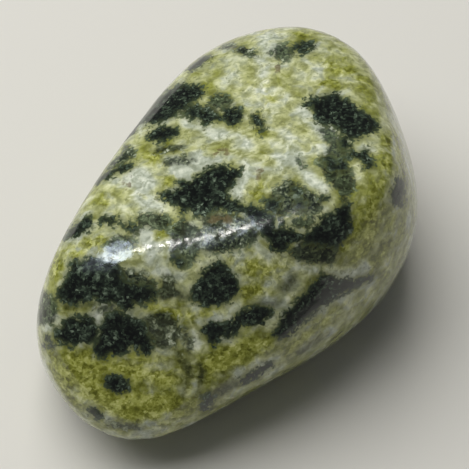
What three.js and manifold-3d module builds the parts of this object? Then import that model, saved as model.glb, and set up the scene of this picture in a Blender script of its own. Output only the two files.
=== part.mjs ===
// A tumbled and polished jadeite pebble: one solid stone, blunt at one end and narrower at the other,
// with softly worn planes on every side and a small flat spot that it rests on.
// Millimetres, +Z up. The origin is under the middle of the stone, on the surface that it rests on.
// The long axis runs along X, with the broad end towards +X and the nose towards -X.

import * as THREE from 'three';
import * as BufferGeometryUtils from 'three/addons/utils/BufferGeometryUtils.js';
import Module from 'manifold-3d';

// Driving dimensions

// The worn planes. Each faces a way given in degrees, around from +X and up from level,
// and lies at a distance from the middle of the stone.
const WORN_PLANES = [
  { name: 'top', around: 60, up: 78, distance: 8.2 },
  { name: 'nose slope', around: -154, up: 45, distance: 10.3 },
  { name: 'nose', around: 158, up: -2, distance: 22.2 },
  { name: 'nose left', around: 129, up: -6, distance: 17.2 },
  { name: 'nose left upper', around: 129, up: 30, distance: 17.2 },
  { name: 'nose under', around: 180, up: -36, distance: 17.7 },
  { name: 'right shoulder', around: -118, up: 17, distance: 12.0 },
  { name: 'right shoulder under', around: -124, up: -28, distance: 11.4 },
  { name: 'right corner', around: -94, up: -12, distance: 14.2 },
  { name: 'right side', around: -60, up: 22, distance: 15.0 },
  { name: 'right side under', around: -68, up: -14, distance: 16.0 },
  { name: 'left side', around: 86, up: 10, distance: 10.5 },
  { name: 'left side upper', around: 54, up: 31, distance: 13.85 },
  { name: 'left side under', around: 62, up: -35, distance: 12.8 },
  { name: 'broad end', around: -20, up: 10, distance: 18.6 },
  { name: 'broad end left', around: 12, up: -14, distance: 20.4 },
  { name: 'broad end upper', around: 16, up: 32, distance: 21.3 },
  { name: 'broad end under', around: -23, up: -38, distance: 16.0 },
  { name: 'underside, nose end', around: 172, up: -79, distance: 9.2 },
  { name: 'underside, left', around: 55, up: -80, distance: 9.1 },
  { name: 'underside, right', around: -58, up: -80, distance: 9.1 },
];

// Higher makes the planes flatter and the rounding between them tighter.
const ROUNDING_POWER = 9;

// Shallow lumps that uneven wear leaves: waves over the stone, each running one way.
const LUMPS = [
  { around: 20, up: 15, wavelength: 13, height: 0.07 },
  { around: 110, up: 35, wavelength: 11, height: 0.06 },
  { around: -60, up: 50, wavelength: 9, height: 0.05 },
];

// The resting spot is worn this far into the lowest point.
const RESTING_SPOT_DEPTH = 0.2;

// Each of the twenty triangles of the starting ball is split into this many plus one along an edge.
const BALL_DETAIL = 17;

const FULL_TURN = 2 * Math.PI;

function direction({ around, up }) {
  const flat = THREE.MathUtils.degToRad(around);
  const rise = THREE.MathUtils.degToRad(up);
  return new THREE.Vector3(
    Math.cos(rise) * Math.cos(flat),
    Math.cos(rise) * Math.sin(flat),
    Math.sin(rise),
  );
}

const planes = WORN_PLANES.map((plane) => ({ facing: direction(plane), distance: plane.distance }));
const lumps = LUMPS.map((lump) => ({ ...lump, along: direction(lump) }));

// How far the worn surface lies from the middle of the stone, along a unit vector.
// With an endless rounding power this is the sharp-edged solid that the planes enclose.
function wornRadius(ray) {
  let sum = 0;
  for (const { facing, distance } of planes) {
    sum += Math.max(ray.dot(facing) / distance, 0) ** ROUNDING_POWER;
  }
  return sum ** (-1 / ROUNDING_POWER);
}

function lumpHeight(point) {
  let height = 0;
  for (const lump of lumps) {
    height += lump.height * Math.sin(FULL_TURN * point.dot(lump.along) / lump.wavelength);
  }
  return height;
}

// A fine ball whose points are moved out to the worn surface and its lumps.
function wornPebble() {
  const geometry = new THREE.IcosahedronGeometry(1, BALL_DETAIL);
  const positions = geometry.attributes.position;
  const ray = new THREE.Vector3();
  const point = new THREE.Vector3();
  for (let i = 0; i < positions.count; i += 1) {
    ray.fromBufferAttribute(positions, i).normalize();
    point.copy(ray).multiplyScalar(wornRadius(ray));
    point.addScaledVector(ray, lumpHeight(point));
    positions.setXYZ(i, point.x, point.y, point.z);
  }
  return geometry;
}

const wasm = await Module();
wasm.setup();

function toManifold(geometry) {
  geometry.deleteAttribute('normal');
  geometry.deleteAttribute('uv');
  const merged = BufferGeometryUtils.mergeVertices(geometry);
  return new wasm.Manifold(new wasm.Mesh({
    numProp: 3,
    vertProperties: new Float32Array(merged.attributes.position.array),
    triVerts: new Uint32Array(merged.index.array),
  }));
}

function toGeometry(manifold) {
  const mesh = manifold.getMesh();
  const geometry = new THREE.BufferGeometry();
  geometry.setAttribute('position', new THREE.BufferAttribute(mesh.vertProperties, mesh.numProp));
  geometry.setIndex(new THREE.BufferAttribute(mesh.triVerts, 1));
  return geometry;
}

// A block wider than the stone, with its top just above the stone's lowest point.
function wornAwayBelow(geometry) {
  geometry.computeBoundingBox();
  const { min, max } = geometry.boundingBox;
  const size = max.clone().sub(min);
  const block = new THREE.BoxGeometry(2 * size.x, 2 * size.y, size.z);
  block.translate(0, 0, min.z + RESTING_SPOT_DEPTH - size.z / 2);
  return block;
}

function stoneGeometry() {
  const pebble = wornPebble();
  const block = wornAwayBelow(pebble);
  const geometry = toGeometry(toManifold(pebble).subtract(toManifold(block)));

  geometry.computeBoundingBox();
  const { min, max } = geometry.boundingBox;
  geometry.translate(-(min.x + max.x) / 2, -(min.y + max.y) / 2, -min.z);
  geometry.computeVertexNormals();
  return geometry;
}

const polishedStone = new THREE.MeshStandardMaterial({
  color: 0x84895f,
  roughness: 0.22,
  metalness: 0,
});

const stone = new THREE.Mesh(stoneGeometry(), polishedStone);
stone.name = 'stone';

const pebble = new THREE.Group();
pebble.add(stone);

export default pebble;
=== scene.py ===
"""The looks of a tumbled and polished jadeite pebble: a fine skin in place of the plain solid, its mottled
minerals, its polish, and the soft studio light that it lies in. Metres, in the part's own frame."""

import math
import random

import bmesh
import bpy
import numpy as np
from mathutils import Matrix, Vector, noise
from mathutils.bvhtree import BVHTree


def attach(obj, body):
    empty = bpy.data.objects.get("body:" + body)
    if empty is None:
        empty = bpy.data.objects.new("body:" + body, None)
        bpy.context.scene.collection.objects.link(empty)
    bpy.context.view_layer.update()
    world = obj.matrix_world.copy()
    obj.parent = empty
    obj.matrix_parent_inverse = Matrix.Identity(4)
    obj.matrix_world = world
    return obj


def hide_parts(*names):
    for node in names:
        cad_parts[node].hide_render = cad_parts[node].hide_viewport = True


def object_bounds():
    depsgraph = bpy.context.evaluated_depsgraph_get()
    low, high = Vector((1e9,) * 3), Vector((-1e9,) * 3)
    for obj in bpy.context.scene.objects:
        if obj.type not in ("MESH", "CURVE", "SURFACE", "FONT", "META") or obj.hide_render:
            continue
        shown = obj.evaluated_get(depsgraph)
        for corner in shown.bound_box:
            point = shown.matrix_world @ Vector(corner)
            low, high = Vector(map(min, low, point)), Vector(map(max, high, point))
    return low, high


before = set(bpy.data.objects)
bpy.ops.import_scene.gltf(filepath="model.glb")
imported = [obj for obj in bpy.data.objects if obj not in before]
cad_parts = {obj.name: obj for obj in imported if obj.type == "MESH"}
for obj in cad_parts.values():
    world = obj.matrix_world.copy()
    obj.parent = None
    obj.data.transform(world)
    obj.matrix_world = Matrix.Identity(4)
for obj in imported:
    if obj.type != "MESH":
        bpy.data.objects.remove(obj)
cad_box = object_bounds()

MM = 0.001

# The camera. Marks are placed by pixels of its picture, which is this many pixels across.
PICTURE_SIZE = 469
PIXELS_PER_MM = 13.0
CAMERA_AZIMUTH = math.radians(-68)
CAMERA_ELEVATION = math.radians(57)
CAMERA_DISTANCE = 170 * MM
CAMERA_SENSOR = 36.0

# Where the middle of the stone's worn planes lies, and the pixel that it shows at
STONE_MIDDLE = Vector((-0.33, 0.92, 7.99)) * MM
STONE_MIDDLE_PIXEL = (228, 235)

# The skin
SUBDIVISIONS = 2
JOINING_DISTANCE = 0.0001 * MM
# The dark mineral stands this proud, with an edge that slopes over this many mm.
DARK_MINERAL_HEIGHT = 0.012 * MM
DARK_MINERAL_EDGE = 0.3
RELIEF = (
    # features per mm, height in mm
    (0.45, 0.030),
    (1.30, 0.010),
)
# The resting spot, below this height, stays flat.
RELIEF_STARTS = 0.4 * MM
# Slight hollows in the ridge, which break up its highlight: pixel x, pixel y, how wide and deep in mm
HOLLOWS = (
    (158, 246, 1.0, 0.030),
    (196, 240, 1.4, 0.035),
)

# Marks that show in the picture. The larger ones are outlines: a name, then corners (pixel x, pixel y).
DARK_OUTLINES = (
    ("far end dash", (293, 50), (298, 44), (306, 42), (315, 44), (312, 49), (302, 53)),
    ("left shoulder",
     (138, 122), (149, 110), (158, 100), (166, 92), (176, 87), (183, 84), (190, 87), (199, 85),
     (203, 90), (200, 97), (192, 101), (184, 108), (175, 113), (168, 120), (159, 124), (149, 123)),
    ("left lozenge",
     (148, 137), (156, 129), (164, 126), (176, 128), (177, 134), (171, 139), (159, 142), (150, 141)),
    ("chain left",
     (187, 115), (189, 108), (196, 106), (203, 109), (209, 109), (215, 115), (221, 114), (221, 120),
     (213, 121), (204, 125), (198, 118), (192, 120)),
    ("chain bead",
     (222, 115), (225, 110), (232, 108), (239, 110), (243, 115), (240, 122), (234, 125), (227, 123)),
    ("centre",
     (161, 195), (171, 192), (180, 188), (178, 182), (189, 181), (197, 176), (204, 171), (213, 167),
     (223, 165), (230, 169), (240, 170), (239, 178), (231, 187), (227, 193), (229, 199), (239, 202),
     (240, 209), (233, 214), (224, 210), (214, 210), (208, 214), (196, 215), (191, 210), (182, 213),
     (178, 206), (167, 201)),
    ("broad end",
     (305, 102), (313, 98), (322, 97), (329, 94), (338, 93), (342, 98), (350, 102), (357, 108),
     (367, 115), (375, 120), (378, 127), (374, 132), (364, 135), (357, 139), (348, 139), (343, 131),
     (336, 126), (327, 124), (319, 123), (315, 115), (311, 108), (306, 106)),
    ("column twig",
     (351, 151), (360, 154), (366, 150), (369, 153), (367, 158), (371, 163), (373, 168), (367, 168),
     (363, 160), (352, 157)),
    ("column core", (342, 137), (348, 139), (350, 148), (345, 154), (341, 146)),
    ("column middle", (325, 158), (331, 157), (336, 164), (345, 160), (347, 168), (340, 172), (328, 168)),
    ("ridge right",
     (244, 210), (252, 205), (259, 209), (267, 213), (273, 221), (274, 229), (286, 229), (294, 233),
     (301, 235), (301, 241), (290, 244), (285, 250), (279, 252), (271, 250), (269, 242), (262, 238),
     (259, 229), (253, 223), (246, 218)),
    ("right hook",
     (345, 203), (350, 206), (350, 214), (351, 221), (349, 230), (342, 240), (336, 247), (326, 246),
     (316, 245), (306, 243), (300, 240), (309, 233), (315, 228), (318, 221), (325, 217), (334, 212),
     (340, 206)),
    ("mottle core", (294, 206), (296, 200), (302, 199), (306, 203), (304, 209), (298, 209)),
    ("mottle left", (266, 203), (271, 199), (279, 201), (279, 207), (274, 211), (268, 210)),
    ("nose edge",
     (64, 239), (69, 231), (77, 225), (83, 218), (90, 217), (92, 224), (90, 230), (83, 233), (74, 238)),
    ("upper band",
     (70, 271), (69, 266), (74, 260), (79, 265), (89, 258), (98, 259), (104, 263), (110, 261),
     (117, 265), (121, 274), (123, 281), (130, 284), (141, 287), (151, 287), (156, 291), (152, 299),
     (143, 303), (133, 303), (131, 312), (123, 312), (121, 306), (113, 303), (101, 303), (94, 299),
     (85, 302), (76, 305), (67, 303), (58, 299), (58, 292), (62, 284), (68, 277)),
    ("round spot",
     (204, 272), (211, 266), (220, 263), (226, 269), (232, 276), (237, 281), (238, 291), (232, 299),
     (224, 303), (215, 306), (207, 307), (198, 303), (192, 297), (193, 290), (199, 284), (201, 277)),
    ("lower band",
     (94, 346), (99, 340), (99, 332), (102, 324), (108, 316), (117, 313), (123, 316), (130, 318),
     (138, 321), (144, 326), (146, 334), (151, 341), (152, 348), (148, 355), (141, 353), (136, 348),
     (129, 347), (126, 353), (118, 356), (110, 354), (104, 359), (98, 358), (93, 352)),
    ("lower band left",
     (53, 335), (60, 329), (64, 321), (70, 317), (79, 320), (85, 314), (91, 317), (95, 326),
     (98, 331), (96, 340), (88, 344), (81, 342), (73, 346), (64, 345), (57, 341)),
    ("nose spot",
     (104, 380), (111, 377), (119, 379), (127, 383), (127, 390), (118, 394), (111, 392), (107, 386)),
    ("diagonal bead",
     (202, 331), (205, 325), (212, 322), (219, 324), (225, 327), (225, 334), (220, 340), (212, 346),
     (208, 341)),
    ("diagonal link",
     (224, 328), (234, 320), (241, 312), (252, 308), (263, 306), (271, 313), (268, 319), (260, 325),
     (252, 327), (246, 322), (238, 329), (230, 337), (224, 339)),
    ("long diagonal",
     (274, 335), (280, 325), (284, 314), (293, 308), (299, 300), (307, 292), (316, 283), (322, 276),
     (331, 277), (337, 281), (348, 280), (356, 283), (362, 279), (372, 277), (367, 282), (354, 287),
     (346, 291), (338, 297), (329, 302), (322, 307), (313, 314), (306, 320), (297, 327), (287, 337),
     (278, 339)),
    ("right edge spot",
     (392, 196), (395, 185), (399, 178), (404, 184), (403, 196), (400, 205), (395, 204)),
)

# Grey-green mineral, lighter than the dark one
GREEN_OUTLINES = (
    ("far end", (269, 52), (277, 47), (287, 45), (295, 50), (287, 58), (281, 61), (275, 56)),
    ("chain upper",
     (209, 103), (212, 97), (218, 94), (226, 96), (231, 101), (229, 106), (221, 108), (213, 107)),
    ("chain end", (250, 120), (253, 115), (260, 116), (264, 122), (266, 129), (262, 134), (257, 128)),
    ("column",
     (334, 139), (341, 135), (348, 139), (351, 148), (347, 156), (348, 167), (352, 176), (356, 183),
     (353, 190), (347, 196), (348, 203), (342, 204), (341, 197), (339, 191), (333, 187), (328, 180),
     (323, 173), (319, 165), (322, 158), (326, 154), (329, 147)),
    ("column side", (318, 131), (326, 126), (334, 129), (336, 138), (328, 141)),
    ("mottle",
     (273, 192), (281, 184), (290, 181), (298, 187), (306, 191), (314, 196), (321, 202), (322, 209),
     (312, 213), (300, 214), (290, 213), (280, 216), (268, 212), (264, 203), (268, 198)),
    ("ridge left",
     (175, 226), (183, 219), (190, 222), (195, 227), (202, 231), (205, 238), (200, 246), (196, 252),
     (194, 260), (184, 266), (175, 263), (170, 252), (169, 243), (171, 234)),
    ("ridge",
     (199, 238), (206, 232), (222, 228), (236, 222), (246, 216), (254, 222), (260, 232), (256, 240),
     (246, 246), (232, 251), (214, 253), (203, 249)),
    ("right hook",
     (299, 240), (318, 238), (336, 242), (338, 256), (329, 264), (316, 264), (303, 262), (292, 257),
     (289, 253), (294, 248)),
    ("nose upper", (137, 217), (148, 214), (160, 214), (170, 221), (166, 228), (150, 229), (138, 228)),
    ("highlight rim",
     (106, 247), (111, 239), (119, 236), (128, 238), (135, 243), (128, 247), (118, 252), (110, 258)),
    ("upper band right",
     (117, 270), (126, 272), (138, 276), (152, 282), (158, 290), (152, 300), (138, 305), (122, 305)),
    ("nose left rim", (38, 288), (48, 297), (53, 306), (55, 315), (51, 324), (36, 324)),
)

# Where dark and pale grains lie salt-and-pepper
MOTTLED_OUTLINES = (
    ("mottle",
     (282, 186), (292, 182), (302, 190), (314, 197), (318, 208), (300, 212), (284, 208), (276, 198)),
    ("over the ridge",
     (200, 215), (214, 212), (230, 214), (244, 216), (240, 223), (226, 229), (212, 233), (203, 229)),
    ("upper band tail",
     (158, 295), (161, 286), (163, 279), (168, 273), (173, 278), (176, 288), (181, 295), (171, 300),
     (161, 300)),
    ("lower band right",
     (140, 322), (150, 316), (160, 313), (170, 316), (177, 323), (182, 331), (178, 339), (174, 346),
     (166, 350), (156, 348), (150, 343), (145, 334)),
)

# Soft olive shade, as if the dark mineral lay just under the surface
SHADED_OUTLINES = (
    ("right hook",
     (299, 240), (318, 238), (336, 242), (337, 255), (328, 263), (316, 263), (304, 261), (293, 256)),
    ("under the ridge", (277, 289), (284, 280), (290, 273), (298, 275), (298, 283), (292, 291), (284, 294)),
    ("over the diagonal", (252, 306), (262, 300), (276, 299), (284, 303), (274, 309), (262, 308)),
    ("between the bands", (60, 302), (80, 306), (96, 300), (98, 312), (84, 308), (66, 312)),
)

# The smaller marks are strokes: a name, then points (pixel x, pixel y, radius in mm) along the middle
# of the stroke, which is as wide at each point as its radius says.
DARK_MARKS = (
    ("far left rim", (192, 68, 0.30), (201, 61, 0.36), (208, 57, 0.16)),
    ("chain end", (256, 119, 0.24), (262, 129, 0.20)),
    ("left edge strip", (98, 181, 0.20), (110, 174, 0.28), (128, 167, 0.20)),
    ("mottle dots", (295, 190, 0.22), (298, 193, 0.20)),
    ("mottle right dot", (324, 199, 0.22), (327, 198, 0.16)),
    ("nose upper dots", (103, 220, 0.22), (113, 222, 0.28), (119, 221, 0.14)),
    ("nose upper streak", (127, 227, 0.18), (132, 230, 0.22)),
    ("left of the ridge", (174, 258, 0.16), (178, 263, 0.18)),
    ("nose loop", (43, 346, 0.10), (47, 338, 0.10), (52, 347, 0.08)),
    ("lower right rim", (243, 381, 0.24), (256, 374, 0.30), (268, 366, 0.22)),
    ("lower rim spot", (205, 407, 0.28), (210, 400, 0.28)),
    ("lower left bits", (92, 412, 0.26), (98, 417, 0.22)),
    ("twig dot", (282, 223, 0.12), (283, 227, 0.10)),
    ("centre to ridge", (236, 206, 0.28), (246, 211, 0.28)),
)

MOTTLED_MARKS = (
    ("far left bits", (224, 47, 0.20), (231, 46, 0.20), (246, 52, 0.28)),
    ("chain", (195, 108, 0.30), (215, 112, 0.30)),
    ("left edge", (114, 164, 0.26), (128, 155, 0.26), (126, 147, 0.14)),
    ("upper band", (122, 276, 0.50), (140, 278, 0.40)),
    ("upper band left",
     (80, 270, 0.50), (96, 271, 0.70), (106, 282, 0.70), (92, 290, 0.60), (78, 292, 0.40)),
    ("lower band left", (60, 336, 0.40), (74, 330, 0.60), (90, 326, 0.40)),
    ("ridge", (207, 246, 0.34), (225, 244, 0.34), (240, 240, 0.30)),
    ("lower tail", (184, 332, 0.20), (189, 342, 0.22), (188, 352, 0.12)),
    ("nose right rim", (206, 398, 0.26), (210, 406, 0.22)),
    ("nose foot", (108, 423, 0.24), (122, 427, 0.24), (141, 429, 0.20)),
    ("between the bands", (102, 310, 0.40), (112, 308, 0.30)),
)

SHADED_MARKS = (
    ("upper band link", (180, 297, 0.30), (192, 297, 0.30)),
    ("right edge", (397, 251, 0.24), (400, 246, 0.22)),
    ("lower right", (300, 352, 0.30), (330, 335, 0.30)),
    # The nose right and flank left strokes are painted shade on the shadow side of the flank below the
    # nose; under nose right there is also dark mottled mineral.
    ("nose right", (174, 352, 0.14), (184, 364, 0.34), (188, 378, 0.46), (184, 394, 0.30)),
    ("flank left", (200, 366, 0.16), (201, 378, 0.26), (196, 392, 0.20)),
    ("lower rim", (215, 395, 0.30), (235, 385, 0.30)),
)

# Cream patches of the matrix
PALE_MARKS = (
    ("nose saddle", (108, 186, 0.40), (118, 180, 0.50), (130, 184, 0.50), (124, 198, 0.40)),
    ("nose saddle lower", (120, 206, 0.36), (150, 212, 0.36), (165, 208, 0.36)),
    ("top", (234, 78, 0.60), (250, 84, 0.80), (262, 92, 0.90), (276, 104, 0.80), (287, 96, 0.56)),
    ("top right", (282, 66, 0.40), (300, 74, 0.50), (316, 78, 0.40)),
    ("middle", (284, 134, 0.40), (300, 142, 0.60), (312, 148, 0.50)),
    ("past the broad end", (380, 120, 0.28), (381, 134, 0.36), (372, 146, 0.36)),
    ("over the spot", (193, 268, 0.36), (205, 260, 0.36), (222, 256, 0.30)),
    ("lower tail", (182, 336, 0.30), (190, 342, 0.34), (196, 350, 0.24)),
    ("nose", (114, 357, 0.20), (117, 366, 0.42), (123, 373, 0.34)),
    ("nose beside the spot", (129, 375, 0.30), (135, 384, 0.26)),
    ("nose foot", (84, 412, 0.10), (102, 424, 0.12), (128, 431, 0.12)),
    ("between the bands", (66, 306, 0.20), (74, 316, 0.26), (84, 312, 0.28)),
    ("between the bands middle", (118, 305, 0.20), (140, 312, 0.24), (158, 306, 0.20)),
    ("diagonal", (269, 319, 0.26), (276, 308, 0.30), (288, 297, 0.24), (300, 285, 0.22)),
    ("far end", (240, 62, 0.40), (262, 38, 0.36), (284, 32, 0.36)),
    ("mottle", (330, 206, 0.24), (318, 212, 0.24), (306, 222, 0.24)),
    ("right of the rich spots", (262, 258, 0.24), (272, 262, 0.20), (276, 272, 0.24)),
)

# Grey-white patches of the matrix
WHITE_MARKS = (
    ("far end", (256, 58, 0.30), (266, 66, 0.44), (262, 76, 0.36)),
    ("nose saddle",
     (140, 176, 0.40), (146, 184, 0.56), (138, 196, 0.50), (150, 202, 0.56), (160, 206, 0.30)),
    ("chain gap", (202, 98, 0.28), (207, 105, 0.28), (222, 110, 0.16)),
    ("under the chain", (186, 126, 0.36), (205, 130, 0.40), (222, 134, 0.40), (236, 136, 0.36)),
    ("middle", (238, 144, 0.60), (262, 144, 0.80), (276, 152, 0.70), (292, 160, 0.60)),
    ("middle lower", (232, 158, 0.40), (248, 164, 0.44), (276, 170, 0.40)),
    ("blue-white", (302, 170, 0.36), (310, 177, 0.56), (321, 187, 0.56), (331, 198, 0.36)),
    ("beside the centre", (246, 174, 0.30), (235, 186, 0.44), (239, 195, 0.30)),
    ("beside the column", (355, 168, 0.40), (360, 178, 0.36)),
    ("before the broad end", (302, 108, 0.30), (310, 117, 0.40), (318, 128, 0.42), (328, 134, 0.30)),
    # The highlight patch lies where the left glint falls: partly pale mineral and partly the glint's
    # brightness, a painted highlight.
    ("highlight", (146, 241, 0.40), (157, 248, 0.50), (150, 261, 0.44)),
    ("vein",
     (283, 258, 0.26), (294, 266, 0.26), (311, 271, 0.22), (331, 272, 0.26), (352, 272, 0.26)),
    ("lower tail", (194, 334, 0.26), (199, 343, 0.26)),
    ("between the bands", (96, 316, 0.20), (98, 304, 0.26), (108, 309, 0.30)),
)

OLIVE_MARKS = (
    ("nose", (66, 372, 0.90), (92, 388, 1.50), (120, 405, 1.50), (150, 410, 1.30), (172, 402, 0.90)),
    ("nose upper", (72, 362, 0.90), (110, 370, 0.80), (140, 374, 0.80), (165, 380, 0.80)),
    ("nose top", (70, 352, 0.50), (84, 356, 0.50), (150, 360, 0.40), (172, 358, 0.34)),
    ("nose right", (180, 362, 0.50), (188, 380, 0.64), (188, 396, 0.50)),
    ("under the ridge", (232, 258, 0.24), (254, 266, 0.74), (268, 272, 0.66), (282, 266, 0.40)),
    ("beside the spot", (246, 290, 0.60), (260, 291, 0.56)),
    ("right side", (374, 205, 0.70), (372, 228, 0.85), (362, 250, 0.70), (352, 262, 0.40)),
    ("right side outer", (393, 214, 0.54), (389, 240, 0.54), (378, 262, 0.46), (366, 280, 0.30)),
    ("right side inner", (360, 206, 0.40), (356, 228, 0.50), (346, 250, 0.44)),
    ("right side upper", (390, 138, 0.36), (389, 160, 0.40), (383, 180, 0.40), (372, 194, 0.34)),
    # The right rim strokes are partly the rim's olive colour and partly painted shade, darker along the
    # edge.
    ("right rim upper", (396, 136, 0.40), (401, 156, 0.40), (405, 180, 0.36)),
    ("right rim",
     (403, 218, 0.40), (400, 240, 0.40), (386, 272, 0.40), (370, 294, 0.36), (350, 312, 0.30)),
    ("broad end", (326, 66, 0.34), (345, 72, 0.44), (358, 80, 0.40)),
    ("broad end lower", (322, 85, 0.34), (333, 86, 0.40)),
    ("far edge", (300, 33, 0.40), (312, 36, 0.40)),
    ("left spot", (154, 156, 0.52), (160, 162, 0.40)),
    ("above the centre", (166, 181, 0.36), (168, 185, 0.34)),
    ("small left", (105, 201, 0.34), (107, 205, 0.30)),
    ("ridge spot", (250, 193, 0.34), (256, 193, 0.30)),
    ("top spot", (267, 91, 0.32), (269, 95, 0.28)),
    ("left of highlight", (72, 256, 0.50), (90, 246, 0.56), (100, 240, 0.40)),
    ("between the bands", (66, 310, 0.34), (82, 311, 0.36), (95, 308, 0.26)),
    ("below the spot", (150, 308, 0.34), (172, 312, 0.42), (196, 318, 0.46), (215, 312, 0.40)),
    ("right of highlight", (160, 236, 0.40), (166, 232, 0.34)),
    ("nose left", (56, 275, 0.40), (54, 262, 0.40)),
    ("rich spots", (246, 266, 0.62), (254, 266, 0.62)),
    ("rich spot right", (281, 268, 0.44), (286, 266, 0.40)),
    # The flank strokes are partly the lower flank's olive-brown colour and partly painted shade, darker
    # where the flank is turned from the light.
    ("flank", (205, 372, 0.90), (222, 362, 1.10), (246, 350, 1.00), (266, 344, 0.70)),
    ("flank right", (290, 350, 0.44), (322, 324, 0.44), (345, 305, 0.40)),
    ("left rim of the nose", (50, 350, 0.40), (56, 376, 0.50), (68, 396, 0.46), (84, 408, 0.30)),
    ("lower rim",
     (95, 419, 0.26), (130, 431, 0.26), (160, 425, 0.36), (186, 412, 0.36), (215, 396, 0.30)),
)

GREEN_MARKS = (
    ("far left bits", (222, 48, 0.20), (229, 46, 0.24)),
    ("far left dash", (242, 50, 0.26), (252, 54, 0.26)),
    ("left edge", (112, 166, 0.34), (124, 158, 0.36), (130, 152, 0.24)),
    ("dash", (298, 160, 0.12), (304, 167, 0.14)),
    ("before the chain", (182, 112, 0.24), (190, 104, 0.24)),
    ("nose upper streak", (126, 227, 0.24), (134, 231, 0.30)),
    ("under the mottle", (296, 222, 0.24), (306, 226, 0.26), (312, 219, 0.20)),
)

# Small rust-brown flecks
RUST_MARKS = (
    ("far end", (277, 68, 0.16), (280, 69, 0.14)),
    ("top", (216, 153, 0.14), (222, 151, 0.22), (226, 154, 0.16)),
    ("beside the centre", (258, 170, 0.12), (262, 172, 0.18), (259, 176, 0.12)),
    ("ridge", (211, 222, 0.20), (218, 217, 0.22), (227, 221, 0.18)),
    ("nose saddle", (124, 184, 0.14), (129, 187, 0.14)),
)

# The sides that the picture doesn't show carry like marks, drawn at random.
HIDDEN_SEED = 11


def srgb(red, green, blue):
    """A colour as it looks, 0 to 255, as the linear colour that a shader reads."""
    def linear(value):
        value /= 255
        return value / 12.92 if value <= 0.04045 else ((value + 0.055) / 1.055) ** 2.4
    return (linear(red), linear(green), linear(blue), 1.0)


# Camera

def direction(around, up):
    """The direction at an angle around from +X and an angle up from level."""
    return Vector((math.cos(up) * math.cos(around), math.cos(up) * math.sin(around), math.sin(up)))


TO_CAMERA = direction(CAMERA_AZIMUTH - math.pi / 2, CAMERA_ELEVATION)
PICTURE_RIGHT = direction(CAMERA_AZIMUTH, 0)
PICTURE_UP = TO_CAMERA.cross(PICTURE_RIGHT)
PIXEL = MM / PIXELS_PER_MM
PICTURE_MIDDLE = PICTURE_SIZE / 2
AIM = (
    STONE_MIDDLE
    + PICTURE_RIGHT * ((PICTURE_MIDDLE - STONE_MIDDLE_PIXEL[0]) * PIXEL)
    - PICTURE_UP * ((PICTURE_MIDDLE - STONE_MIDDLE_PIXEL[1]) * PIXEL)
)
CAMERA_PLACE = AIM + TO_CAMERA * CAMERA_DISTANCE


def make_camera():
    data = bpy.data.cameras.new("camera")
    data.sensor_width = CAMERA_SENSOR
    data.lens = CAMERA_SENSOR * CAMERA_DISTANCE / (PICTURE_SIZE * PIXEL)
    data.clip_start = 1 * MM
    camera = bpy.data.objects.new("camera", data)
    camera.location = CAMERA_PLACE
    camera.rotation_mode = "QUATERNION"
    camera.rotation_quaternion = (-TO_CAMERA).to_track_quat("-Z", "Y")
    bpy.context.scene.collection.objects.link(camera)
    bpy.context.scene.camera = camera


# The stone's mesh

def fine_skin(node):
    """A finer copy of a node's mesh, with its shared corners joined and its faces rounded."""
    mesh = bmesh.new()
    mesh.from_mesh(node.data)
    bmesh.ops.remove_doubles(mesh, verts=mesh.verts, dist=JOINING_DISTANCE)
    for _ in range(SUBDIVISIONS):
        bmesh.ops.subdivide_edges(mesh, edges=mesh.edges, cuts=1, smooth=1.0, use_grid_fill=True)
    # The rounding doesn't bulge through the resting spot.
    for vertex in mesh.verts:
        vertex.co.z = max(vertex.co.z, 0)
    data = bpy.data.meshes.new("pebble")
    mesh.to_mesh(data)
    mesh.free()
    data.polygons.foreach_set("use_smooth", [True] * len(data.polygons))
    piece = bpy.data.objects.new("pebble", data)
    bpy.context.scene.collection.objects.link(piece)
    return piece


def tree_of(data):
    """The mesh in a form that rays can be cast at."""
    faces = [list(face.vertices) for face in data.polygons]
    return BVHTree.FromPolygons(points_of(data).tolist(), faces)


def points_of(data):
    places = np.empty(len(data.vertices) * 3, np.float32)
    data.vertices.foreach_get("co", places)
    return places.reshape(-1, 3).astype(float)


def normals_of(data):
    normals = np.empty(len(data.vertices) * 3, np.float32)
    data.vertex_normals.foreach_get("vector", normals)
    return normals.reshape(-1, 3).astype(float)


# Marks on the stone

# How far apart, in pixels, a stroke's points are cast at the stone
CASTING_STEP = 3.0


def seen_point(tree, x, y):
    """Where the camera's ray through a pixel meets the stone, or None."""
    target = (
        AIM
        + PICTURE_RIGHT * ((x - PICTURE_MIDDLE) * PIXEL)
        - PICTURE_UP * ((y - PICTURE_MIDDLE) * PIXEL)
    )
    return tree.ray_cast(CAMERA_PLACE, target - CAMERA_PLACE)[0]


def mark_discs(tree, points):
    """Points on the surface along one mark, each with its radius."""
    discs = []
    for (x0, y0, r0), (x1, y1, r1) in zip(points, points[1:]):
        steps = max(1, round(math.hypot(x1 - x0, y1 - y0) / CASTING_STEP))
        for step in range(steps + 1):
            share = step / steps
            place = seen_point(tree, x0 + (x1 - x0) * share, y0 + (y1 - y0) * share)
            if place is not None:
                discs.append((*place, (r0 + (r1 - r0) * share) * MM))
    return discs


# Depths aren't followed further out of a mark than this.
FAR_OUTSIDE = 3 * MM
# A mark from the picture keeps its width there where the surface slopes away from the camera,
# so distances along the camera's line of sight count this much.
SIGHT_SHARE = 0.4


def depth_in(places, marks, sight_share=1.0):
    """How deep inside its nearest mark each place lies, in mm. It is negative outside the marks."""
    sight = np.array(TO_CAMERA)
    depth = np.full(len(places), -FAR_OUTSIDE)
    for discs in marks:
        for disc in np.array(discs):
            offset = places - disc[:3]
            along = (offset @ sight)[:, None] * sight
            away = np.linalg.norm(offset - along * (1 - sight_share), axis=1)
            np.maximum(depth, disc[3] - away, out=depth)
    return depth / MM


# An outline that reaches the stone's edge in the picture runs on over it, and shrinks by this many mm
# where the surface has turned right away from the camera.
EDGE_SHRINKS = 4.0


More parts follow.
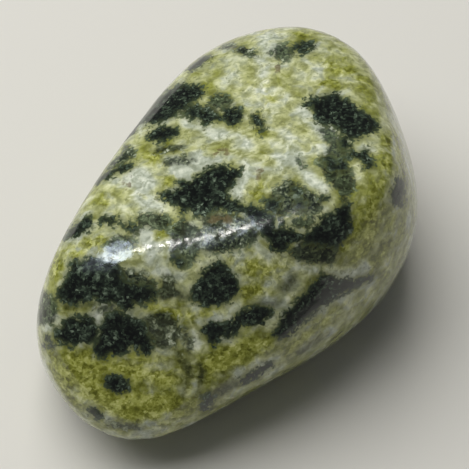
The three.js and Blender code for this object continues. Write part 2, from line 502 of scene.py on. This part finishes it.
def depth_in_outline(places, normals, corners):
    """How deep inside an outline in the picture each place lies, in mm. It is negative outside."""
    sight = places - np.array(CAMERA_PLACE)
    ahead = sight @ -np.array(TO_CAMERA)
    scale = CAMERA_DISTANCE / ahead / PIXEL
    x = PICTURE_MIDDLE + sight @ np.array(PICTURE_RIGHT) * scale
    y = PICTURE_MIDDLE - sight @ np.array(PICTURE_UP) * scale
    inside = np.zeros(len(places), bool)
    nearest = np.full(len(places), FAR_OUTSIDE * scale)
    for (x0, y0), (x1, y1) in zip(corners, corners[1:] + corners[:1]):
        wide, high = x1 - x0, y1 - y0
        share = np.clip(((x - x0) * wide + (y - y0) * high) / (wide ** 2 + high ** 2), 0, 1)
        np.minimum(nearest, np.hypot(x - x0 - share * wide, y - y0 - share * high), out=nearest)
        if high:
            inside ^= ((y < y0) != (y < y1)) & (x < x0 + (y - y0) * wide / high)
    turned_away = np.clip(np.einsum("ij,ij->i", normals, sight) / ahead, 0, 1)
    return np.where(inside, nearest, -nearest) / PIXELS_PER_MM - turned_away * EDGE_SHRINKS


HIDDEN_MARKS = {
    # kind: how many, shortest and longest, thinnest and thickest, in mm
    "dark": (84, 0.6, 4.0, 0.30, 1.00),
    "mottled": (40, 0.5, 3.0, 0.30, 0.80),
    "shaded": (20, 1.0, 3.0, 0.30, 0.70),
    "pale": (50, 0.5, 3.5, 0.30, 0.90),
    "white": (40, 0.5, 3.0, 0.30, 0.70),
    "olive": (60, 0.5, 3.5, 0.40, 1.30),
    "rust": (12, 0.1, 0.5, 0.12, 0.22),
    "green": (44, 0.5, 3.0, 0.35, 0.90),
}
# The share of them that lie near the one before, and how near
CLUSTERED = 0.6
CLUSTER_REACH = 2.2 * MM
# The minerals lie in bands along this direction, and a mark's own direction differs by up to the wander.
BAND_DIRECTION = PICTURE_RIGHT * 0.95 + PICTURE_UP * 0.30
BAND_WANDER = 0.5
# A mark is drawn at points this far apart. It narrows to this share towards its ends, and its edge wavers.
MARK_SPACING = 0.25 * MM
MARK_ENDS = 0.55
MARK_WAVER = 0.12
# The picture doesn't show surface that faces the camera less than this.
LEAST_FACING = -0.04


def hidden_marks(tree, places, normals, kind):
    """Marks like those in the picture, for the sides that the camera doesn't see."""
    count, shortest, longest, thinnest, thickest = HIDDEN_MARKS[kind]
    chance = random.Random(f"{HIDDEN_SEED} {kind}")
    facing = normals @ np.array(TO_CAMERA)
    hidden = np.flatnonzero(facing < LEAST_FACING)
    marks = []
    for _ in range(count):
        if marks and chance.random() < CLUSTERED:
            start += Vector([chance.uniform(-CLUSTER_REACH, CLUSTER_REACH) for _ in range(3)])
        else:
            start = Vector(places[hidden[chance.randrange(len(hidden))]])
        along = BAND_DIRECTION + Vector([chance.uniform(-BAND_WANDER, BAND_WANDER) for _ in range(3)])
        length = chance.uniform(shortest, longest) * MM
        radius = chance.uniform(thinnest, thickest) * MM
        steps = max(2, round(length / MARK_SPACING))
        discs = []
        for step in range(steps + 1):
            share = step / steps - 0.5
            guess = start + along.normalized() * (length * share)
            place = tree.find_nearest(guess)[0]
            swell = MARK_ENDS + (1 - MARK_ENDS) * math.cos(math.pi * share)
            swell += chance.uniform(-MARK_WAVER, MARK_WAVER)
            discs.append((*place, radius * swell))
        marks.append(discs)
    return marks


def carry_marks(piece, tree):
    """Writes how deep each point of the skin lies in each kind of mark, for the material to read."""
    places = points_of(piece.data)
    normals = normals_of(piece.data)
    kinds = {
        "dark": (DARK_OUTLINES, DARK_MARKS),
        "mottled": (MOTTLED_OUTLINES, MOTTLED_MARKS),
        "shaded": (SHADED_OUTLINES, SHADED_MARKS),
        "pale": ((), PALE_MARKS),
        "white": ((), WHITE_MARKS),
        "olive": ((), OLIVE_MARKS),
        "rust": ((), RUST_MARKS),
        "green": (GREEN_OUTLINES, GREEN_MARKS),
    }
    depths = {}
    for kind, (outlines, marks) in kinds.items():
        shown = depth_in(places, [mark_discs(tree, points) for _, *points in marks], SIGHT_SHARE)
        hidden = depth_in(places, hidden_marks(tree, places, normals, kind))
        depths[kind] = np.maximum(shown, hidden)
        for _, *corners in outlines:
            np.maximum(depths[kind], depth_in_outline(places, normals, corners), out=depths[kind])
        attribute = piece.data.attributes.new(kind, "FLOAT", "POINT")
        attribute.data.foreach_set("value", depths[kind].astype(np.float32))
    return depths


def wear(piece, tree, depths):
    """Gives the polished skin its slight relief."""
    places = points_of(piece.data)
    normals = normals_of(piece.data)
    lift = np.clip(depths["dark"] / DARK_MINERAL_EDGE + 0.5, 0, 1) * DARK_MINERAL_HEIGHT
    for fineness, height in RELIEF:
        waves = [noise.noise(Vector(place) * (fineness / MM)) for place in places]
        lift += np.array(waves) * height * MM
    for x, y, width, depth in HOLLOWS:
        away = np.linalg.norm(places - np.array(seen_point(tree, x, y)), axis=1) / MM
        lift -= depth * MM * np.exp(-0.5 * (away / width) ** 2)
    places += normals * (lift * (places[:, 2] > RELIEF_STARTS))[:, None]
    # The finer skin keeps the solid's length, width and height.
    low, high = np.array(cad_box)
    own_low, own_high = places.min(axis=0), places.max(axis=0)
    places = low + (places - own_low) * (high - low) / (own_high - own_low)
    piece.data.vertices.foreach_set("co", places.astype(np.float32).ravel())
    piece.data.update()


# Materials

# Colours of the minerals, from the darkest grains to the lightest: how far along, then red, green and
# blue as they look, 0 to 255
GREY_WHITE = (
    (0.00, 104, 111, 90),
    (0.30, 146, 154, 134),
    (0.55, 178, 186, 168),
    (0.80, 208, 214, 196),
    (1.00, 234, 238, 228),
)
CREAM = (
    (0.00, 106, 111, 64),
    (0.30, 142, 147, 98),
    (0.55, 172, 177, 128),
    (0.80, 204, 208, 162),
    (1.00, 230, 233, 200),
)
OLIVE = (
    (0.00, 76, 80, 18),
    (0.30, 108, 113, 38),
    (0.55, 136, 142, 66),
    (0.80, 162, 167, 92),
    (1.00, 190, 194, 128),
)
RICH_OLIVE = (
    (0.00, 92, 96, 20),
    (0.35, 134, 139, 50),
    (0.65, 170, 175, 84),
    (1.00, 214, 217, 138),
)
GREY_GREEN = (
    (0.00, 20, 29, 20),
    (0.30, 46, 58, 42),
    (0.55, 74, 88, 64),
    (0.80, 112, 126, 96),
    (1.00, 168, 178, 150),
)
SHADE = (
    (0.00, 22, 27, 17),
    (0.35, 46, 53, 34),
    (0.65, 72, 80, 54),
    (1.00, 116, 124, 92),
)
SALT_AND_PEPPER = (
    (0.00, 16, 24, 17),
    (0.30, 38, 48, 36),
    (0.55, 78, 88, 66),
    (0.80, 134, 143, 118),
    (1.00, 190, 197, 178),
)
BLACK_GREEN = (
    (0.00, 2, 5, 3),
    (0.30, 14, 21, 15),
    (0.55, 36, 47, 35),
    (0.80, 64, 78, 62),
    (1.00, 110, 124, 106),
)
THIN_BLACK_GREEN = (
    (0.00, 36, 46, 26),
    (1.00, 76, 88, 58),
)
DARK_GRAINS = (88, 96, 56)
DARK_RIM = (82, 88, 44)
RUST = (92, 79, 48)
FLOOR = (214, 213, 207)

REFRACTIVE_INDEX = 1.66
POLISH = 0.12
BUMP_HEIGHT = 0.007 * MM
FLOOR_ROUGHNESS = 0.7


class Nodes:
    """A material's nodes, made one by one. Each method gives the new node's result."""

    def __init__(self, name):
        self.material = bpy.data.materials.new(name)
        self.material.use_nodes = True
        self.tree = self.material.node_tree
        self.tree.nodes.clear()

    def node(self, kind, values=(), **settings):
        made = self.tree.nodes.new(kind)
        for name, value in settings.items():
            setattr(made, name, value)
        for name, value in dict(values).items():
            self.put(made.inputs[name], value)
        return made

    def put(self, socket, value):
        if isinstance(value, bpy.types.NodeSocket):
            self.tree.links.new(value, socket)
        else:
            socket.default_value = value

    def place_mm(self):
        """The place on the stone, in mm."""
        coordinates = self.node("ShaderNodeTexCoord").outputs["Object"]
        scaled = self.node("ShaderNodeVectorMath", {0: coordinates, "Scale": 1 / MM}, operation="SCALE")
        return scaled.outputs["Vector"]

    def noise(self, place, fineness, seed, detail=1.0):
        """Noise around nought, about -0.3 to 0.3, with that many features per mm."""
        made = self.node("ShaderNodeTexNoise", {
            "Vector": place, "W": seed, "Scale": fineness, "Detail": detail,
        }, noise_dimensions="4D")
        return self.sum(made.outputs["Fac"], -0.5)

    def warp(self, place, fineness, reach):
        """The place, moved by up to the reach in mm, so that what is drawn there is ragged."""
        made = self.node("ShaderNodeTexNoise", {"Vector": place, "Scale": fineness, "Detail": 1.0})
        moved = self.node("ShaderNodeVectorMath", {
            0: made.outputs["Color"], 1: (reach, reach, reach), 2: place,
        }, operation="MULTIPLY_ADD")
        return moved.outputs["Vector"]

    def stretch(self, place, along, share):
        """The place, with distances along a direction counted as that share, so features are longer."""
        length = self.node("ShaderNodeVectorMath", {0: place, 1: tuple(along)}, operation="DOT_PRODUCT")
        taken = self.node("ShaderNodeVectorMath", {
            0: tuple(along), "Scale": self.times(length.outputs["Value"], share - 1),
        }, operation="SCALE")
        moved = self.node("ShaderNodeVectorMath", {0: place, 1: taken.outputs["Vector"]}, operation="ADD")
        return moved.outputs["Vector"]

    def crystals(self, place, fineness):
        """A value for each crystal, around nought, -0.5 to 0.5, with that many crystals per mm."""
        made = self.node("ShaderNodeTexVoronoi", {
            "Vector": place, "Scale": fineness, "Smoothness": 0.12,
        }, feature="SMOOTH_F1")
        parts = self.node("ShaderNodeSeparateColor", {"Color": made.outputs["Color"]})
        return self.sum(parts.outputs["Red"], -0.5)

    def depth(self, kind):
        """How deep the place lies in its mark of that kind, in mm."""
        return self.node("ShaderNodeAttribute", attribute_name=kind).outputs["Fac"]

    def sum(self, first, second):
        return self.node("ShaderNodeMath", {0: first, 1: second}, operation="ADD").outputs[0]

    def times(self, first, second):
        return self.node("ShaderNodeMath", {0: first, 1: second}, operation="MULTIPLY").outputs[0]

    def add(self, value, *parts):
        """The value, with each part added at its strength."""
        for part, strength in parts:
            value = self.sum(value, self.times(part, strength))
        return value

    def step(self, value, low, high):
        """0 below low, 1 above high, and smooth between them."""
        made = self.node("ShaderNodeMapRange", {
            "Value": value, "From Min": low, "From Max": high,
        }, interpolation_type="SMOOTHSTEP")
        return made.outputs["Result"]

    def mix(self, share, first, second):
        made = self.node("ShaderNodeMix", data_type="RGBA")
        self.put(made.inputs["Factor"], share)
        self.put(made.inputs["A"], first)
        self.put(made.inputs["B"], second)
        return made.outputs["Result"]

    def ramp(self, value, stops):
        """The colour that lies as far along the stops as the value says."""
        made = self.node("ShaderNodeValToRGB", {"Fac": value})
        elements = made.color_ramp.elements
        while len(elements) < len(stops):
            elements.new(0.5)
        for element, (position, *colour) in zip(elements, stops):
            element.position = position
            element.color = srgb(*colour)
        return made.outputs["Color"]

    def surface(self, values):
        """Ends the material with a surface that has these values."""
        shader = self.node("ShaderNodeBsdfPrincipled", values)
        self.node("ShaderNodeOutputMaterial", {"Surface": shader.outputs["BSDF"]})
        return self.material


class Grain:
    """The stone's noises, by name, from wide clouds to fine specks."""

    def __init__(self, nodes):
        place = nodes.place_mm()
        swirled = nodes.warp(place, 0.9, 1.6)
        ragged = nodes.warp(place, 2.5, 0.35)
        band = BAND_DIRECTION.normalized()
        self.nodes = nodes
        self.noises = {
            "clouds": nodes.noise(place, 0.42, 1),
            "lobes": nodes.noise(swirled, 0.85, 2),
            "blotches": nodes.noise(swirled, 1.7, 3, detail=2.0),
            "streaks": nodes.noise(nodes.stretch(place, band, 0.45), 2.4, 4),
            "grains": nodes.crystals(ragged, 2.6),
            "flecks": nodes.noise(nodes.stretch(place, band, 0.7), 5.0, 5),
            "specks": nodes.crystals(ragged, 5.2),
        }

    def on(self, value, **strengths):
        """The value, with each named noise added at its strength."""
        parts = [(self.noises[name], strength) for name, strength in strengths.items()]
        return self.nodes.add(value, *parts)


def matrix(nodes, grain):
    """The pale matrix: grey-white in some places and olive in others, darker and lighter by grains."""
    pale = nodes.step(grain.on(nodes.depth("pale"), lobes=1.8, blotches=1.4), -0.5, 0.5)
    # Grey-white patches; the one where the left glint falls is partly a painted highlight.
    white = nodes.step(grain.on(nodes.depth("white"), lobes=1.4, blotches=1.0, streaks=0.4), -0.45, 0.45)
    # Olive marks; those on the lower flank and along the right rim are partly painted shade.
    olive = nodes.step(grain.on(nodes.depth("olive"), lobes=1.6, blotches=1.4), -0.6, 0.6)
    green = nodes.add(
        grain.on(0.53, clouds=1.7, lobes=1.5, blotches=0.40, streaks=0.20, grains=0.05),
        (olive, 0.44), (pale, -0.12), (white, -0.46),
    )
    patches = nodes.step(grain.on(0.0, blotches=1.0, streaks=0.5, grains=0.07), -0.10, 0.10)
    fine = nodes.times(
        grain.on(0.0, flecks=0.30, grains=0.26, specks=0.22),
        nodes.add(0.60, (olive, 1.2)),
    )
    light = nodes.add(
        grain.on(0.42, lobes=-0.4, blotches=0.6, streaks=0.3),
        (patches, 0.14), (fine, 1.0), (pale, 0.15), (white, 0.10), (olive, -0.01),
    )
    colour = nodes.ramp(light, GREY_WHITE)
    colour = nodes.mix(nodes.step(green, 0.04, 0.60), colour, nodes.ramp(light, CREAM))
    colour = nodes.mix(nodes.step(green, 0.42, 1.04), colour, nodes.ramp(light, OLIVE))

    # Small dark green grains here and there
    peppered = nodes.step(grain.on(0.0, specks=1.0, lobes=0.5, grains=0.2), 0.36, 0.50)
    colour = nodes.mix(nodes.times(peppered, 0.5), colour, srgb(*DARK_GRAINS))

    # The middles of the olive marks, richer in colour
    rich = nodes.add(grain.on(nodes.depth("olive"), lobes=0.5, blotches=0.8, streaks=0.3), (white, -0.6))
    rich = nodes.times(nodes.step(rich, 0.00, 0.66), 0.8)
    return nodes.mix(rich, colour, nodes.ramp(light, RICH_OLIVE))


def with_grey_green(nodes, grain, colour):
    """The colour with the cloudy grey-green mineral and the olive shade, and where the mineral is."""
    light = grain.on(0.31, lobes=0.5, blotches=0.7, flecks=0.6, grains=0.50, specks=0.60)
    cloudy = grain.on(nodes.depth("green"), lobes=0.5, blotches=0.9, grains=0.36, specks=0.24)
    cloudy = nodes.step(cloudy, -0.36, 0.04)
    colour = nodes.mix(nodes.times(cloudy, 0.94), colour, nodes.ramp(light, GREY_GREEN))
    # The soft olive shade: a tone of the stone in most places, and painted shade on the flank below the
    # nose.
    shaded = nodes.step(grain.on(nodes.depth("shaded"), lobes=1.0, blotches=1.0), -0.35, 0.45)
    colour = nodes.mix(nodes.times(shaded, 0.8), colour, nodes.ramp(light, SHADE))
    return colour, cloudy


def with_salt_and_pepper(nodes, grain, colour):
    """The colour with the mixed dark and pale grains, and where those are."""
    light = grain.on(0.36, blotches=1.0, flecks=0.8, grains=0.60, specks=0.45)
    mottled = grain.on(nodes.depth("mottled"), lobes=0.6, blotches=1.0, grains=0.40)
    mottled = nodes.step(mottled, -0.35, 0.15)
    colour = nodes.mix(nodes.times(mottled, 0.9), colour, nodes.ramp(light, SALT_AND_PEPPER))
    return colour, mottled


def with_dark_mineral(nodes, grain, colour, mottled):
    """The colour with the dark mineral, grainy at its edges and green where it is thin, and where it is."""
    light = nodes.add(
        grain.on(0.35, lobes=0.4, blotches=0.6, flecks=0.7, grains=0.50, specks=0.62),
        (mottled, 0.16),
    )
    depth = nodes.sum(
        grain.on(nodes.depth("dark"), lobes=0.3, blotches=0.7, grains=0.34, specks=0.26),
        0.13,
    )
    thin_colour = nodes.ramp(grain.on(0.5, specks=1.0), THIN_BLACK_GREEN)
    dark_colour = nodes.mix(nodes.step(depth, 0.00, 0.36), thin_colour, nodes.ramp(light, BLACK_GREEN))
    rim = nodes.times(nodes.step(depth, -0.36, -0.04), 0.45)
    colour = nodes.mix(rim, colour, srgb(*DARK_RIM))
    dark = nodes.step(depth, -0.12, 0.10)
    return nodes.mix(dark, colour, dark_colour), dark


def with_rust(nodes, grain, colour):
    """The colour with small rust-brown flecks."""
    rust = nodes.step(grain.on(nodes.depth("rust"), blotches=0.8, grains=0.45), -0.12, 0.16)
    return nodes.mix(nodes.times(rust, 0.75), colour, srgb(*RUST))


def jadeite():
    nodes = Nodes("jadeite")
    grain = Grain(nodes)
    colour = matrix(nodes, grain)
    colour, cloudy = with_grey_green(nodes, grain, colour)
    colour, mottled = with_salt_and_pepper(nodes, grain, colour)
    colour, dark = with_dark_mineral(nodes, grain, colour, mottled)
    colour = with_rust(nodes, grain, colour)

    # The dark mineral takes the polish less well.
    roughness = nodes.add(
        grain.on(POLISH, grains=0.05, blotches=0.06),
        (dark, 0.05), (cloudy, 0.03), (mottled, 0.04),
    )
    bump = nodes.node("ShaderNodeBump", {
        "Strength": 0.5, "Distance": BUMP_HEIGHT,
        "Height": grain.on(0.0, blotches=1.6, flecks=0.7, grains=0.9),
    })
    return nodes.surface({
        "Base Color": colour, "Roughness": roughness, "Normal": bump.outputs["Normal"],
        "IOR": REFRACTIVE_INDEX,
    })


def pale_floor():
    return Nodes("pale floor").surface({"Base Color": srgb(*FLOOR), "Roughness": FLOOR_ROUGHNESS})


# Stage and light

FLOOR_SIZE = 3.0


def make_floor():
    data = bpy.data.meshes.new("floor")
    half = FLOOR_SIZE / 2
    corners = [(-half, -half, 0), (half, -half, 0), (half, half, 0), (-half, half, 0)]
    data.from_pydata(corners, [], [(0, 1, 2, 3)])
    data.materials.append(pale_floor())
    floor = bpy.data.objects.new("floor", data)
    bpy.context.scene.collection.objects.link(floor)


WORLD_COLOUR = (235, 238, 240)
WORLD_STRENGTH = 0.12
# The broad light gives the shading, and the two small ones the glints on the polish: name, where around
# and up, how long and how short, all as degrees seen from the stone, then watts and colour.
KEY = ("key", 70, 62, 56, 56, 2.9, (255, 253, 250))
GLINTS = (
    ("left glint", 130.8, 76.2, 32, 4.2, 0.38, (222, 237, 255)),
    ("right glint", 154.2, 80.4, 6.5, 2.2, 0.10, (255, 252, 246)),
)
LIGHT_DISTANCE = 0.45
# The lights' long sides run across the stone's ridge.
ACROSS_THE_RIDGE = direction(math.radians(35), 0)


def make_light(name, around, up, long, short, watts, colour):
    """A soft light that faces the stone."""
    data = bpy.data.lights.new(name, "AREA")
    data.shape = "RECTANGLE"
    data.size = 2 * LIGHT_DISTANCE * math.tan(math.radians(long / 2))
    data.size_y = 2 * LIGHT_DISTANCE * math.tan(math.radians(short / 2))
    data.energy = watts
    data.color = srgb(*colour)[:3]
    light = bpy.data.objects.new(name, data)
    back = direction(math.radians(around), math.radians(up))
    short_side = back.cross(ACROSS_THE_RIDGE).normalized()
    light.matrix_basis = Matrix.Translation(STONE_MIDDLE + back * LIGHT_DISTANCE) @ Matrix(
        (short_side.cross(back), short_side, back)
    ).transposed().to_4x4()
    bpy.context.scene.collection.objects.link(light)
    return light


def light_stone():
    scene = bpy.context.scene
    scene.view_settings.view_transform = "Standard"
    world = bpy.data.worlds.new("studio")
    world.use_nodes = True
    background = world.node_tree.nodes["Background"]
    background.inputs["Color"].default_value = srgb(*WORLD_COLOUR)
    background.inputs["Strength"].default_value = WORLD_STRENGTH
    scene.world = world
    make_light(*KEY).visible_glossy = False
    for glint in GLINTS:
        make_light(*glint).visible_diffuse = False


make_camera()
pebble = fine_skin(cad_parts["stone"])
skin_tree = tree_of(pebble.data)
wear(pebble, skin_tree, carry_marks(pebble, skin_tree))
pebble.data.materials.append(jadeite())
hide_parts("stone")
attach(pebble, "root")
make_floor()
light_stone()
